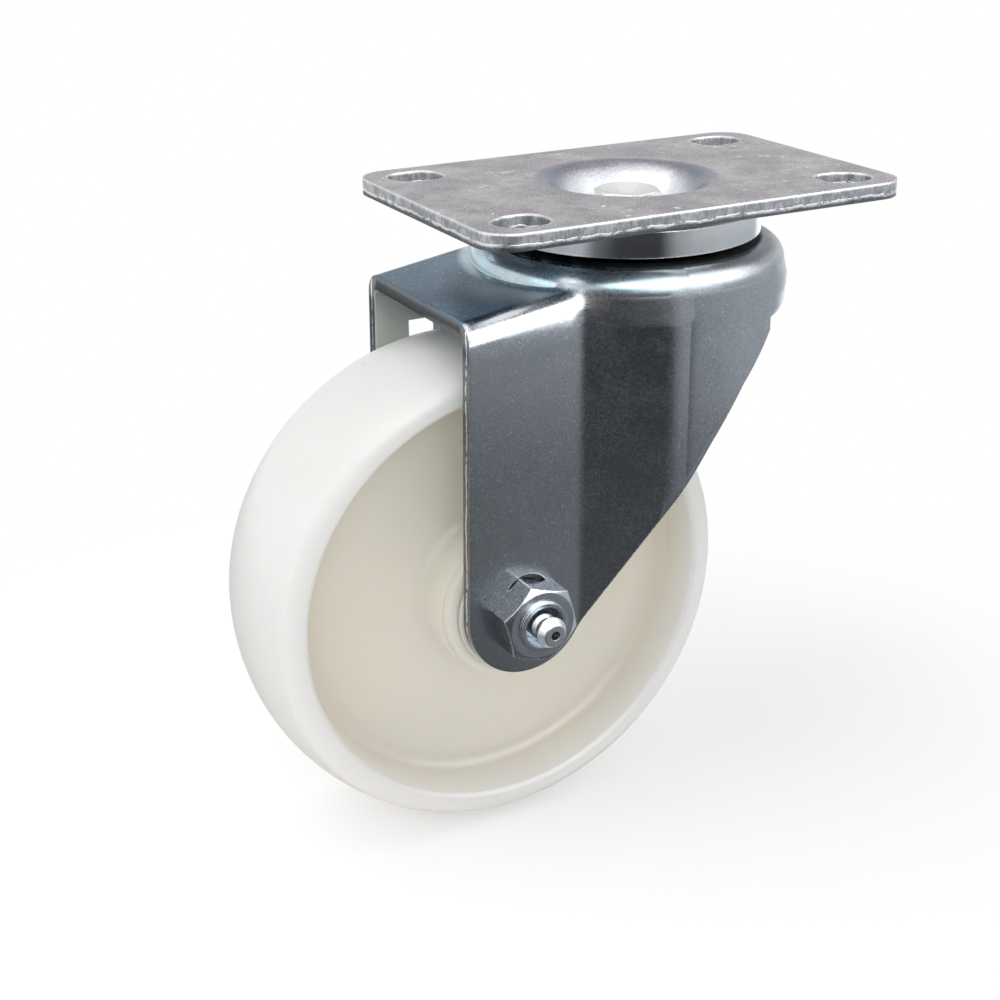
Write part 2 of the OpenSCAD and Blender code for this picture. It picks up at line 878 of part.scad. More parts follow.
// Half section of the solid wheel before its recesses: crowned tread with round edges
module wheel_body_section() {
    half = wheel_w / 2;
    crown_c = wheel_r - tread_crown_r;
    edge_h = half - tread_edge_r;
    edge_a = asin(edge_h / (tread_crown_r - tread_edge_r));
    edge_x = crown_c + (tread_crown_r - tread_edge_r) * cos(edge_a);
    translate([0, -half])
        square([edge_x, wheel_w]);
    for (s = [-1, 1])
        translate([edge_x, s * edge_h])
            circle(r = tread_edge_r);
    intersection() {
        translate([crown_c, 0])
            circle(r = tread_crown_r, $fn = 180);
        polygon([
            [crown_c, 0],
            [crown_c + far * cos(edge_a), far * sin(edge_a)],
            [crown_c + far * cos(edge_a), -far * sin(edge_a)]
        ]);
        translate([crown_c, -far])
            square([far, 2 * far]);
    }
    translate([0, -hub_l / 2])
        square([hub_r, hub_l]);
}

// Half section of one recess, between the rim and the hub
module recess_section() {
    half = wheel_w / 2;
    floor_h = half - recess_depth;
    // Fillets at the rim side and the hub side of the recess's floor
    rim_fillet = 3;
    hub_fillet = 2.5;
    // Draft of the rim's wall and of the hub, and how far the floor rises towards the hub
    rim_draft = 1.1;
    hub_draft = 0.9;
    floor_rise = 2.1;
    lip_chamfer = 0.7;
    rim_x = recess_r - rim_draft - rim_fillet;
    hub_x = hub_r + hub_draft + hub_fillet;
    hub_h = floor_h + floor_rise;
    polygon([
        [hub_r, hub_l / 2],
        [hub_r + hub_draft, hub_h + hub_fillet],
        [hub_x, hub_h],
        [rim_x, floor_h],
        [rim_x + rim_fillet, floor_h + rim_fillet],
        [recess_r, half - lip_chamfer],
        [recess_r + lip_chamfer, half],
        [recess_r + lip_chamfer, hub_l],
        [hub_r, hub_l]
    ]);
    translate([rim_x, floor_h + rim_fillet])
        circle(r = rim_fillet);
    translate([hub_x, hub_h + hub_fillet])
        circle(r = hub_fillet);
}

module wheel() {
    seat = seal_t + shell_end_gap;
    color("ivory")
    on_axle()
        difference() {
            rotate_extrude($fn = 180)
                difference() {
                    wheel_body_section();
                    recess_section();
                    mirror([0, 1])
                        recess_section();
                }
            translate([0, 0, -hub_l])
                cylinder(r = shell_out_r + press_gap, h = 2 * hub_l);
            for (s = [0, 1])
                mirror([0, 0, s])
                    translate([0, 0, hub_l / 2 - seat])
                        cylinder(r = seal_r + press_gap, h = seat + cut);
        }
}

module bearing_shell() {
    half = hub_l / 2 - seal_t - shell_end_gap;
    color("dimgray")
    on_axle()
        difference() {
            translate([0, 0, -half])
                cylinder(r = shell_out_r, h = 2 * half);
            translate([0, 0, -half - cut])
                cylinder(r = shell_in_r, h = 2 * half + 2 * cut);
        }
}

// Ring in the end of the hub, which keeps the rollers in and the grease behind it
module bearing_seal(side) {
    on_axle()
        mirror([0, 0, side > 0 ? 0 : 1])
            translate([0, 0, hub_l / 2 - seal_t])
                difference() {
                    cylinder(r = seal_r, h = seal_t);
                    translate([0, 0, -cut])
                        cylinder(r = sleeve_r + seal_gap, h = seal_t + 2 * cut);
                }
}

module near_bearing_seal() {
    color("darkslategray")
    bearing_seal(-1);
}

module far_bearing_seal() {
    color("darkslategray")
    bearing_seal(1);
}

module rollers() {
    color("gainsboro")
    on_axle()
        polar_copies(roller_count)
            translate([roller_pitch_r, 0, -roller_l / 2])
                cylinder(r = roller_r, h = roller_l);
}

module roller_cage() {
    half = roller_l / 2 + 1.6;
    wall_in = roller_pitch_r - 0.8;
    wall_out = roller_pitch_r + 0.9;
    color("goldenrod")
    on_axle()
        difference() {
            translate([0, 0, -half])
                cylinder(r = wall_out, h = 2 * half);
            translate([0, 0, -half - cut])
                cylinder(r = wall_in, h = 2 * half + 2 * cut);
            polar_copies(roller_count)
                translate([roller_pitch_r, 0, -roller_l / 2 - cage_gap])
                    cylinder(r = roller_r + cage_gap, h = roller_l + 2 * cage_gap);
        }
}

top_plate();
upper_race();
kingpin();
lower_race();
kingpin_nut();
load_balls();
thrust_balls();
fork();
axle_bolt();
axle_lock_nut();
nut_locking_ring();
axle_sleeve();
near_thrust_washer();
far_thrust_washer();
grease_fitting();
grease_check_ball();
grease_spring();
wheel();
bearing_shell();
near_bearing_seal();
far_bearing_seal();
roller_cage();
rollers();
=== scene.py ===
import bpy
import math
from mathutils import Matrix, Vector


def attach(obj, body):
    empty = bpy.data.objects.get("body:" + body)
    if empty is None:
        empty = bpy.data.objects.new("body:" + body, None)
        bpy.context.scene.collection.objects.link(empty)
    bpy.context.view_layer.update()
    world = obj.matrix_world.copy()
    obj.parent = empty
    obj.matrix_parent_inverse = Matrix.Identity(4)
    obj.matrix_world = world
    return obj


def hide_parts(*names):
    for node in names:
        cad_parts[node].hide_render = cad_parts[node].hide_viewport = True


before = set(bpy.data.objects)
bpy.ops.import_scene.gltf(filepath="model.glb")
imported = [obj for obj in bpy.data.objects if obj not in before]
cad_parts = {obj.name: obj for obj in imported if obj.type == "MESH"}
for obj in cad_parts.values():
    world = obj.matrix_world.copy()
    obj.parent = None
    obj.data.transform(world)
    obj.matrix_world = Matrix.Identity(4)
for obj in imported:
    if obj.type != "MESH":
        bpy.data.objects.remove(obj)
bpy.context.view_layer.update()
SCENE = bpy.context.scene

# Places on the castor, in metres. The swivel's axis is x = y = 0 and the plate's top is z = 0.
AXLE_X, AXLE_Z = -0.0351, -0.0778
FLOOR_Z = -0.1286
SWIVEL_CENTRE = (0, 0, 0)
CASTOR_MIDDLE = (-0.02, 0, -0.06)
BURR_Z = -0.0022
WEB_BEND_CENTRE = 0.0183
EDGE_LINE_INSET = 0.0026
BURR_WAVE, EDGE_LINE_BOW = 0.0016, 0.0014
SOFT_BEND, CRISP_EDGE = 0.0020, 0.0004
SHADOW_MIDDLE = (-0.005, 0.0, 0.0)

# Each pair is where a mask starts and where it is full, in metres. R is from the swivel's axis,
# Y on the fork is from its middle, and the wheel's recess is measured from the axle.
PLATE_FLAT_R = (0.0185, 0.0225)
PLATE_UPPER_EDGE_Z = (-0.0026, -0.0016)
UNDER_BURR_Z = (-0.0023, -0.0027)
FROM_BURR, FROM_EDGE_LINE = (0.00036, 0.00012), (0.0003, 0.0001)
DISH_R = (0.0165, 0.0120)
DISH_MOUTH_R, DISH_FOOT_R = (0.0185, 0.0172), (0.0100, 0.0120)
DISH_END = (0.0105, 0.0145)
DISH_FAR_Y = (-0.012, 0.002)
CROWN_WALL_R = (0.0372, 0.0362)
CROWN_SIDE_Z, CROWN_BLUE_X = (-0.0155, -0.0145), (0.004, -0.020)
CROWN_FOOT_X, CROWN_FOOT_Y, CROWN_FOOT_Z = (-0.020, -0.024), (0.0222, 0.0212), (-0.0205, -0.0190)
SHOULDER_X, SHOULDER_Z = (-0.022, -0.010), (-0.0225, -0.0200)
GROOVE_R, GROOVE_Z = (0.0272, 0.0262), (-0.0145, -0.0135)
WEB_X, WEB_Z, WEB_R = (-0.020, -0.026), (-0.024, -0.021), (0.0325, 0.0345)
WEB_NEAR_Y = (-0.004, -0.017)
WEB_CORNER_X, WEB_CORNER_Y, WEB_CORNER_R = (-0.043, -0.030), (0.004, -0.010), (0.0440, 0.0350)
WEB_BEND_X, WEB_BEND_Y = (-0.021, -0.024), (0.0165, 0.0175)
LEG_TOP_X, LEG_TOP_Z = (-0.022, -0.026), (-0.0250, -0.0175)
LEG_OUTSIDE_Y, LEG_INSIDE_Y = (0.018, 0.020), (0.0202, 0.0198)
LEG_EDGE_X, LEG_FOOT_Z = (-0.036, -0.038), (-0.075, -0.065)
PANEL_Y, RIDGE_Y = (0.022, 0.027), (0.024, 0.026)
RIDGE_LEFT_X, RIDGE_RIGHT_X = (-0.0100, -0.0056), (-0.0046, -0.0050)
RACE_LOW_Z, RACE_LIP_Z = (-0.0052, -0.0085), (-0.00925, -0.00945)
RECESS_R = (0.0435, 0.0415)
SHADOW_END_R = (0.016, 0.030)

# Each band is where a mask is full, in metres, and then how far it fades on both sides
DISH_RIM_BAND = (0.0158, 0.0176, 0.0018)
CROWN_CREASE_BAND = (-0.0208, -0.0182, 0.0006)
LEG_BEND_BAND = (-0.0255, -0.0205, 0.001)
RIDGE_BAND = (-0.0085, 0.0010, 0.001)
PANEL_TOP_BAND, PANEL_SIDE_BAND = (-0.0235, -0.0165, 0.0012), (-0.030, 0.014, 0.007)

# Heights of the surfaces' grain, in metres
METAL_GRAIN, FORK_GRAIN, PLASTIC_GRAIN = 0.00004, 0.00003, 0.00006

# Colours
WHITE = (1, 1, 1, 1)
# Wear colours, also painted along edges as a highlight
METAL_WEAR_AND_HIGHLIGHT, PLATE_WEAR_AND_HIGHLIGHT = (0.84, 0.85, 0.86), (0.85, 0.86, 0.87)
HAIRLINE, RUBBED = (0.86, 0.86, 0.87), (0.88, 0.88, 0.89)
PLATE_DIM, PLATE_CLEAN, PLATE_STAIN = (0.285, 0.268, 0.290), (0.52, 0.51, 0.515), (0.19, 0.172, 0.195)
PLATE_LIGHT_GRAIN, PLATE_DARK_GRAIN = (0.70, 0.68, 0.70), (0.10, 0.09, 0.115)
# Painted reflections in the dish: bright bluish inside, purple-grey shade on the far rim, dark blue at its ends
DISH_REFLECTION_BLUE, DISH_FAR_RIM_SHADE, DISH_END_DARK_REFLECTION = (0.76, 0.81, 0.86), (0.17, 0.165, 0.215), (0.235, 0.265, 0.325)
SHEARED_DIM, SHEARED_BRIGHT = (0.39, 0.405, 0.42), (0.70, 0.715, 0.73)
BURR_WHITE, UNDER_BURR = (0.93, 0.94, 0.95), (0.12, 0.125, 0.13)
FORK_GREY, FORK_COOL, FORK_DIM = (0.47, 0.50, 0.535), (0.435, 0.465, 0.505), (0.36, 0.385, 0.42)
FORK_LIGHT_GRAIN, FORK_DARK_GRAIN = (0.70, 0.72, 0.74), (0.28, 0.30, 0.33)
# Painted reflection on the crown's side, and a painted highlight on the pressed bends
CROWN_REFLECTION_BLUE, BEND_HIGHLIGHT = (0.52, 0.72, 0.81), (0.74, 0.77, 0.80)
# Painted reflections on the web: dark blue, clearer towards the near bend, and bright in the corner beside the
# crown
WEB_DARK_REFLECTION, WEB_LIGHTER_REFLECTION = (0.062, 0.135, 0.200), (0.100, 0.180, 0.250)
WEB_NEAR_REFLECTION, WEB_CORNER_REFLECTION = (0.20, 0.38, 0.56), (0.80, 0.96, 1.0)
EDGE_DARK, EDGE_LINE = (0.10, 0.105, 0.11), (0.92, 0.94, 0.95)
# A painted reflection of the wheel inside the legs, and old grease in the ball groove
WHEEL_REFLECTION_TINT, OLD_GREASE = (0.78, 0.83, 0.77), (0.02, 0.02, 0.022)
RACE_BRIGHT, RACE_GREY, RACE_LOW = (0.88, 0.89, 0.90), (0.78, 0.81, 0.84), (0.60, 0.63, 0.66)
NYLON_CREAM, NYLON_CREAM_2 = (0.82, 0.785, 0.69), (0.80, 0.77, 0.70)
NYLON_MILK, NYLON_MILK_2 = (0.84, 0.845, 0.85), (0.825, 0.82, 0.805)
NYLON_BLOTCH, NYLON_SPECK, NYLON_SCRATCH = (0.85, 0.84, 0.81), (0.42, 0.38, 0.32), (0.70, 0.69, 0.66)
FLOOR_WARM, FLOOR_SEEN, STUDIO_BROWN = (0.84, 0.80, 0.75), (0.90, 0.90, 0.90), (0.115, 0.085, 0.072)


# Shader helpers

class Nodes:
    """A node tree with short calls for the nodes used here."""

    def __init__(self, tree):
        self.tree = tree

    def put(self, socket, value):
        if isinstance(value, bpy.types.NodeSocket):
            self.tree.links.new(value, socket)
        else:
            socket.default_value = value

    def new(self, kind, settings=None, **inputs):
        n = self.tree.nodes.new("ShaderNode" + kind)
        for key, value in (settings or {}).items():
            setattr(n, key, value)
        for key, value in inputs.items():
            self.put(n.inputs[key.replace("_", " ")], value)
        return n

    def math(self, op, a, b=0.0):
        n = self.new("Math", {"operation": op})
        self.put(n.inputs[0], a)
        self.put(n.inputs[1], b)
        return n.outputs[0]

    def add(self, *values):
        out = values[0]
        for v in values[1:]:
            out = self.math("ADD", out, v)
        return out

    def times(self, *values):
        out = values[0]
        for v in values[1:]:
            out = self.math("MULTIPLY", out, v)
        return out

    def most(self, a, b):
        return self.math("MAXIMUM", a, b)

    def minus(self, a, b):
        return self.math("SUBTRACT", a, b)

    def size(self, value):
        return self.math("ABSOLUTE", value)

    def length(self, a, b):
        return self.math("SQRT", self.add(self.times(a, a), self.times(b, b)))


class Shader(Nodes):
    """A material, with its textures in the object's own coordinates."""

    def __init__(self, name):
        self.mat = bpy.data.materials.new(name)
        self.mat.use_nodes = True
        super().__init__(self.mat.node_tree)
        self.bsdf = self.tree.nodes["Principled BSDF"]
        self.out = self.tree.nodes["Material Output"]
        self.coord = self.new("TexCoord").outputs["Object"]

    def set(self, **values):
        for key, value in values.items():
            self.put(self.bsdf.inputs[key.replace("_", " ")], value)

    def emit(self, colour, strength=1.0):
        """The surface as light alone, in place of the Principled shader."""
        self.tree.nodes.remove(self.bsdf)
        e = self.new("Emission", Color=colour, Strength=strength)
        self.tree.links.new(e.outputs[0], self.out.inputs["Surface"])

    def mapping(self, scale=(1, 1, 1), rot=(0, 0, 0), loc=(0, 0, 0)):
        return self.new("Mapping", Vector=self.coord, Location=loc, Rotation=rot, Scale=scale).outputs[0]

    def noise(self, scale, detail=2.0, rough=0.5, vector=None):
        return self.new("TexNoise", Vector=vector or self.coord, Scale=scale,
                        Detail=detail, Roughness=rough).outputs["Fac"]

    def ramp(self, value, start, end, low=0.0, high=1.0):
        """Low before start and high after end, with a smooth rise between them."""
        return self.new("MapRange", {"interpolation_type": "SMOOTHSTEP"}, Value=value, From_Min=start,
                        From_Max=end, To_Min=low, To_Max=high).outputs["Result"]

    def band(self, value, a, b, soft):
        """1 between a and b, falling to 0 over soft at both ends."""
        return self.times(self.ramp(value, a - soft, a), self.ramp(value, b, b + soft, 1.0, 0.0))

    def mix(self, fac, a, b):
        n = self.new("Mix", {"data_type": "RGBA"}, Factor=fac)
        for key, value in (("A", a), ("B", b)):
            sock = [s for s in n.inputs if s.name == key and s.type == "RGBA"][0]
            self.put(sock, value if isinstance(value, bpy.types.NodeSocket) else (*value, 1.0))
        return [s for s in n.outputs if s.type == "RGBA"][0]

    def axis(self, which, vector=None):
        return self.new("SeparateXYZ", Vector=vector or self.coord).outputs["XYZ".index(which)]

    def radius(self):
        """Distance from the swivel's axis."""
        return self.length(self.axis("X"), self.axis("Y"))

    def axle_radius(self):
        """Distance from the wheel's axis."""
        return self.length(self.minus(self.axis("X"), AXLE_X), self.minus(self.axis("Z"), AXLE_Z))

    def true_normal(self):
        return self.new("NewGeometry").outputs["Normal"]

    def turned(self, vector, kind, start, end):
        return self.new("VectorTransform", {"vector_type": kind, "convert_from": start, "convert_to": end},
                        Vector=vector).outputs[0]

    def normal_axis(self, which):
        return self.axis(which, self.turned(self.true_normal(), "NORMAL", "WORLD", "OBJECT"))

    def bevel(self, radius):
        return self.new("Bevel", {"samples": 6}, Radius=radius).outputs[0]

    def edges(self, normal, width=0.12):
        """1 where the rounded normal has left the face's own one, which is along its edges."""
        n = self.new("VectorMath", {"operation": "DOT_PRODUCT"})
        self.put(n.inputs[0], normal)
        self.put(n.inputs[1], self.true_normal())
        return self.ramp(n.outputs["Value"], 0.995, 1.0 - width)

    def lean(self, normal, keep, add):
        """The normal with its upward part scaled by keep and then raised by add."""
        x, y, z = (self.axis(c, normal) for c in "XYZ")
        raised = self.new("CombineXYZ", X=x, Y=y, Z=self.add(self.times(z, keep), add))
        return self.new("VectorMath", {"operation": "NORMALIZE"}, Vector=raised.outputs[0]).outputs[0]

    def push_x(self, normal, amount):
        """The normal pushed along the object's own x."""
        way = self.turned(self.new("CombineXYZ", X=amount).outputs[0], "VECTOR", "OBJECT", "WORLD")
        total = self.new("VectorMath")
        self.put(total.inputs[0], normal)
        self.put(total.inputs[1], way)
        return self.new("VectorMath", {"operation": "NORMALIZE"}, Vector=total.outputs[0]).outputs[0]

    def bump(self, height, strength, distance, normal):
        return self.new("Bump", Height=height, Strength=strength, Distance=distance, Normal=normal).outputs[0]

    def scratches(self, turn, amount=0.5, scale=70.0, stretch=60.0):
        """Hair-thin straight lines, one way and broken up, where a stretched noise crosses a level."""
        line = self.noise(scale, 0.0, 0.5, vector=self.mapping(scale=(1.0, stretch, stretch), rot=turn))
        thin = self.ramp(self.size(self.minus(line, 0.5)), 0.0, 0.006, 1.0, 0.0)
        cut = self.noise(scale * 2.3, 2.0, vector=self.mapping(loc=(turn[2], 3.1, 1.7)))
        return self.times(thin, self.ramp(cut, 0.60, 0.66), amount)

    def specks(self, scale, level, seed=0.0):
        """Scattered small grains, level being the noise value above which one shows."""
        grain = self.noise(scale, 1.0, 0.5, vector=self.mapping(loc=(seed, -seed, 2 * seed)))
        return self.ramp(grain, level, level + 0.06)


# Materials of the record's slots

def plated(name, base, tint, rough, grain=0.25, bevel=CRISP_EDGE, scratch=0.4, speck=0.3, edge=0.5):
    """Zinc-plated steel: mottled tint, fine grain, light specks, hairlines, and worn edges with a painted
    highlight.
    """
    s = Shader(name)
    mid = s.noise(1400.0, 3.0, 0.6)
    fine = s.noise(4200.0, 2.0, 0.5)
    cloud = s.noise(170.0, 4.0, 0.6)
    light = tuple(min(1.0, c * 1.35) for c in base)
    dark = tuple(c * 0.72 for c in base)
    col = s.mix(s.ramp(s.noise(60.0, 3.0), 0.35, 0.65), base, tint)
    col = s.mix(s.ramp(cloud, 0.45, 0.75, 0.0, 0.35), col, dark)
    col = s.mix(s.ramp(fine, 0.52, 0.70, 0.0, speck), col, light)
    lines = s.most(s.scratches((0.2, 0.3, 0.5), scratch), s.scratches((0.5, -0.4, 2.1), scratch))
    col = s.mix(lines, col, HAIRLINE)
    round_edge = s.bevel(bevel)
    if edge:
        # Worn edges, brightened further as a painted edge highlight
        worn_edge_highlight = s.times(s.edges(round_edge), s.ramp(mid, 0.35, 0.55, 0.4, 1.0), edge)
        col = s.mix(worn_edge_highlight, col, METAL_WEAR_AND_HIGHLIGHT)
    r = s.add(s.ramp(mid, 0.3, 0.7, rough - 0.04, rough + 0.06), s.ramp(cloud, 0.3, 0.7, -0.03, 0.04))
    height = s.add(s.times(fine, 0.5), s.times(mid, 0.5))
    s.set(Base_Color=col, Metallic=1.0, Roughness=r, Normal=s.bump(height, grain, METAL_GRAIN, round_edge))
    return s


def top_plate_metal():
    """The plate: a stained face with rubs, a dish painted bright and bluish as a reflection with painted shade at
    its far rim and ends, and sheared edges with a burr.
    """
    s = Shader("plated_plate")
    z, r_axis = s.axis("Z"), s.radius()
    side = s.ramp(s.size(s.normal_axis("Z")), 0.35, 0.75, 1.0, 0.0)
    flat = s.ramp(r_axis, *PLATE_FLAT_R)
    fine = s.noise(2300.0, 3.0, 0.65)
    mid = s.noise(1100.0, 4.0, 0.65)
    cloud = s.noise(75.0, 4.0, 0.6)
    stain = s.noise(240.0, 5.0, 0.7)
    col = s.mix(s.ramp(cloud, 0.34, 0.66), PLATE_DIM, PLATE_CLEAN)
    col = s.mix(s.ramp(stain, 0.46, 0.66, 0.0, 0.5), col, PLATE_STAIN)
    col = s.mix(s.ramp(fine, 0.50, 0.62, 0.0, 0.42), col, PLATE_LIGHT_GRAIN)
    col = s.mix(s.ramp(fine, 0.49, 0.37, 0.0, 0.45), col, PLATE_DARK_GRAIN)

    # Painted reflection: brighter, bluish metal in the dish, and painted purple-grey shade round its far rim
    col = s.mix(s.ramp(r_axis, *DISH_R, 0.0, 0.85), col, DISH_REFLECTION_BLUE)
    rim = s.times(s.band(r_axis, *DISH_RIM_BAND), s.ramp(s.axis("Y"), *DISH_FAR_Y))
    col = s.mix(s.times(rim, 0.6), col, DISH_FAR_RIM_SHADE)

    # Painted dark reflection at two opposite ends of the dish, on a line turned a little off the plate's length
    across = s.size(s.minus(s.times(s.axis("X"), 0.885), s.times(s.axis("Y"), 0.465)))
    wall = s.times(s.ramp(r_axis, *DISH_MOUTH_R), s.ramp(r_axis, *DISH_FOOT_R))
    col = s.mix(s.times(s.ramp(across, *DISH_END), wall, 0.72), col, DISH_END_DARK_REFLECTION)

    # Rubs, flecks and hairlines on the flat face
    lines = s.most(s.scratches((0.0, 0.0, 0.5), 0.75, 60.0, 50.0), s.scratches((0.0, 0.0, 2.0), 0.6, 80.0, 40.0))
    smear = s.noise(150.0, 3.0, 0.7, vector=s.mapping(scale=(0.5, 1, 1), rot=(0, 0, 0.4)))
    rub = s.times(s.ramp(smear, 0.59, 0.67), s.ramp(mid, 0.48, 0.58), 0.85)
    fleck = s.most(s.specks(700.0, 0.735, 1.0), s.specks(380.0, 0.745, 2.0))
    marks = s.times(s.most(lines, s.most(rub, fleck)), flat)
    col = s.mix(marks, col, RUBBED)

    # Sheared edge: streaks down the face, a broken bright burr and a darker strip under it
    streak = s.noise(1500.0, 4.0, 0.65, vector=s.mapping(scale=(1, 1, 0.35)))
    tone = s.add(s.times(streak, 0.45), s.times(s.noise(300.0, 4.0, 0.7), 0.55))
    col = s.mix(side, col, s.mix(s.ramp(tone, 0.42, 0.60), SHEARED_DIM, SHEARED_BRIGHT))
    wave = s.times(s.minus(s.noise(230.0, 4.0, 0.65), 0.5), BURR_WAVE)
    from_burr = s.size(s.add(s.minus(z, BURR_Z), wave))
    broken = s.ramp(s.noise(420.0, 3.0, 0.7), 0.40, 0.46)
    burr = s.times(side, s.ramp(from_burr, *FROM_BURR), broken, flat)
    under = s.times(side, s.ramp(s.add(z, wave), *UNDER_BURR_Z), flat)
    col = s.mix(s.times(under, 0.75), col, UNDER_BURR)
    col = s.mix(s.times(burr, 0.85), col, BURR_WHITE)

    normal = s.bevel(0.0009)
    # Worn upper edges, brightened further as a painted edge highlight
    worn_edge_highlight = s.times(s.edges(normal), s.ramp(mid, 0.30, 0.50, 0.5, 1.0), s.ramp(z, *PLATE_UPPER_EDGE_Z, 0.25, 0.85))
    col = s.mix(worn_edge_highlight, col, PLATE_WEAR_AND_HIGHLIGHT)
    height = s.add(s.times(fine, 0.8), s.times(mid, 0.5), s.times(burr, 7.0), s.times(side, tone, 0.5))
    r = s.add(s.ramp(mid, 0.3, 0.7, 0.24, 0.34), s.add(s.times(marks, 0.08), s.times(side, 0.15)))
    s.set(Base_Color=col, Metallic=1.0, Roughness=r, Normal=s.bump(height, 0.28, METAL_GRAIN, normal))
    return s


def fork_metal():
    """The fork: grey zinc with a web painted dark blue as its reflection, painted highlights on the bends, sheared
    edges and grease in the ball groove.
    """
    s = Shader("plated_fork")
    x, y, z = s.axis("X"), s.axis("Y"), s.axis("Z")
    from_middle, r_axis, up = s.size(y), s.radius(), s.normal_axis("Z")
    mid = s.noise(1500.0, 3.0, 0.6)
    fine = s.noise(3000.0, 3.0, 0.6)
    cloud = s.noise(110.0, 4.0, 0.6)
    col = s.mix(s.ramp(cloud, 0.35, 0.65), FORK_GREY, FORK_COOL)
    col = s.mix(s.ramp(s.noise(330.0, 4.0, 0.6), 0.48, 0.8, 0.0, 0.30), col, FORK_DIM)
    col = s.mix(s.ramp(fine, 0.52, 0.68, 0.0, 0.5), col, FORK_LIGHT_GRAIN)
    col = s.mix(s.ramp(fine, 0.48, 0.32, 0.0, 0.4), col, FORK_DARK_GRAIN)

    # Painted reflection: pale blue on the crown's side over the web
    foot = s.times(s.ramp(z, *CROWN_FOOT_Z), s.ramp(from_middle, *CROWN_FOOT_Y), s.ramp(x, *CROWN_FOOT_X))
    tint = s.times(s.ramp(x, *CROWN_BLUE_X), s.most(s.ramp(z, *CROWN_SIDE_Z), foot),
                   s.ramp(r_axis, *CROWN_WALL_R), s.ramp(s.noise(150.0, 3.0), 0.30, 0.62, 0.45, 0.8))
    col = s.mix(tint, col, CROWN_REFLECTION_BLUE)

    # Painted highlight: the pressed bends are lighter than the flats
    bend_highlight = s.times(s.band(up, 0.12, 0.97, 0.04), s.ramp(from_middle, *WEB_BEND_Y), s.ramp(x, *WEB_BEND_X))
    col = s.mix(s.times(bend_highlight, 0.7), col, BEND_HIGHLIGHT)

    # Painted dark reflection on the web, clearer towards the near bend, with a painted bright reflection in the
    # corner beside the crown
    web = s.times(s.ramp(x, *WEB_X), s.ramp(up, 0.90, 0.98), s.ramp(r_axis, *WEB_R), s.ramp(z, *WEB_Z))
    web_reflection = s.mix(s.ramp(s.noise(70.0, 3.0), 0.3, 0.7), WEB_DARK_REFLECTION, WEB_LIGHTER_REFLECTION)
    web_reflection = s.mix(s.ramp(y, *WEB_NEAR_Y, 0.0, 0.7), web_reflection, WEB_NEAR_REFLECTION)
    corner = s.times(s.ramp(r_axis, *WEB_CORNER_R), s.ramp(x, *WEB_CORNER_X), s.ramp(y, *WEB_CORNER_Y))
    web_reflection = s.mix(corner, web_reflection, WEB_CORNER_REFLECTION)
    col = s.mix(s.times(web, 0.95), col, web_reflection)

    dust = s.times(s.specks(1900.0, 0.68), 0.6)
    lines = s.most(s.scratches((1.57, 0.0, 0.5), 0.30, 60.0, 60.0), s.scratches((1.4, -0.4, 0.1), 0.25, 80.0, 50.0))
    col = s.mix(s.most(dust, lines), col, METAL_WEAR_AND_HIGHLIGHT)

    # Sheared edges of the web and legs: a dark middle with a broken bright line that follows the bend
    shear = s.times(s.ramp(s.normal_axis("X"), -0.80, -0.95), s.ramp(x, *LEG_EDGE_X))
    bow = s.times(s.minus(s.noise(160.0, 3.0, 0.6), 0.5), EDGE_LINE_BOW)
    out_y = s.most(s.minus(from_middle, WEB_BEND_CENTRE), 0.0)
    out_z = s.most(s.add(z, WEB_BEND_CENTRE), 0.0)
    from_line = s.size(s.add(s.minus(s.length(out_y, out_z), EDGE_LINE_INSET), bow))
    line = s.ramp(from_line, *FROM_EDGE_LINE)
    col = s.mix(s.times(shear, 0.8), col, EDGE_DARK)
    col = s.mix(s.times(shear, line, s.ramp(s.noise(600.0, 2.0), 0.38, 0.46)), col, EDGE_LINE)

    # Painted reflection: inside the legs the metal takes the colour of the wheel beside it
    inner = s.times(s.ramp(from_middle, *LEG_INSIDE_Y), s.ramp(s.size(s.normal_axis("Y")), 0.7, 0.9))
    col = s.mix(s.times(inner, 0.85), col, WHEEL_REFLECTION_TINT)

    # Old grease in the ball groove
    groove = s.times(s.ramp(r_axis, *GROOVE_R), s.ramp(z, *GROOVE_Z))
    col = s.mix(s.times(groove, 0.93), col, OLD_GREASE)

    # Soft pressed bends at the crown's foot and the ridge, and crisp sheared edges elsewhere
    soft = s.most(s.times(s.band(z, *CROWN_CREASE_BAND), 0.75),
                  s.times(s.band(x, *LEG_BEND_BAND), s.ramp(z, *LEG_FOOT_Z)))
    soft = s.most(soft, s.times(s.band(x, *RIDGE_BAND), s.ramp(from_middle, *LEG_OUTSIDE_Y)))
    normal = s.bevel(s.add(s.times(soft, SOFT_BEND), CRISP_EDGE))
    # Worn edges, brightened further as a painted edge highlight
    worn_edge_highlight = s.times(s.edges(normal, 0.2), s.ramp(soft, 0.1, 0.3, 1.0, 0.0), s.ramp(mid, 0.35, 0.5, 0.3, 0.8))
    col = s.mix(worn_edge_highlight, col, METAL_WEAR_AND_HIGHLIGHT)

    # The panel runs into the crown without a crease, and the leg starts with a slow curve under its bend
    flush = s.times(s.band(z, *PANEL_TOP_BAND), s.ramp(from_middle, *PANEL_Y), s.band(x, *PANEL_SIDE_BAND))
    slow = s.times(s.ramp(z, *LEG_TOP_Z), s.ramp(x, *LEG_TOP_X), s.ramp(from_middle, *LEG_OUTSIDE_Y),
                   s.ramp(up, 0.35, 0.15))
    normal = s.lean(normal, s.minus(1.0, flush), s.times(slow, 0.42))
    ridge = s.times(s.ramp(x, *RIDGE_LEFT_X), s.ramp(x, *RIDGE_RIGHT_X), s.ramp(from_middle, *RIDGE_Y), 0.30)
    normal = s.push_x(normal, ridge)

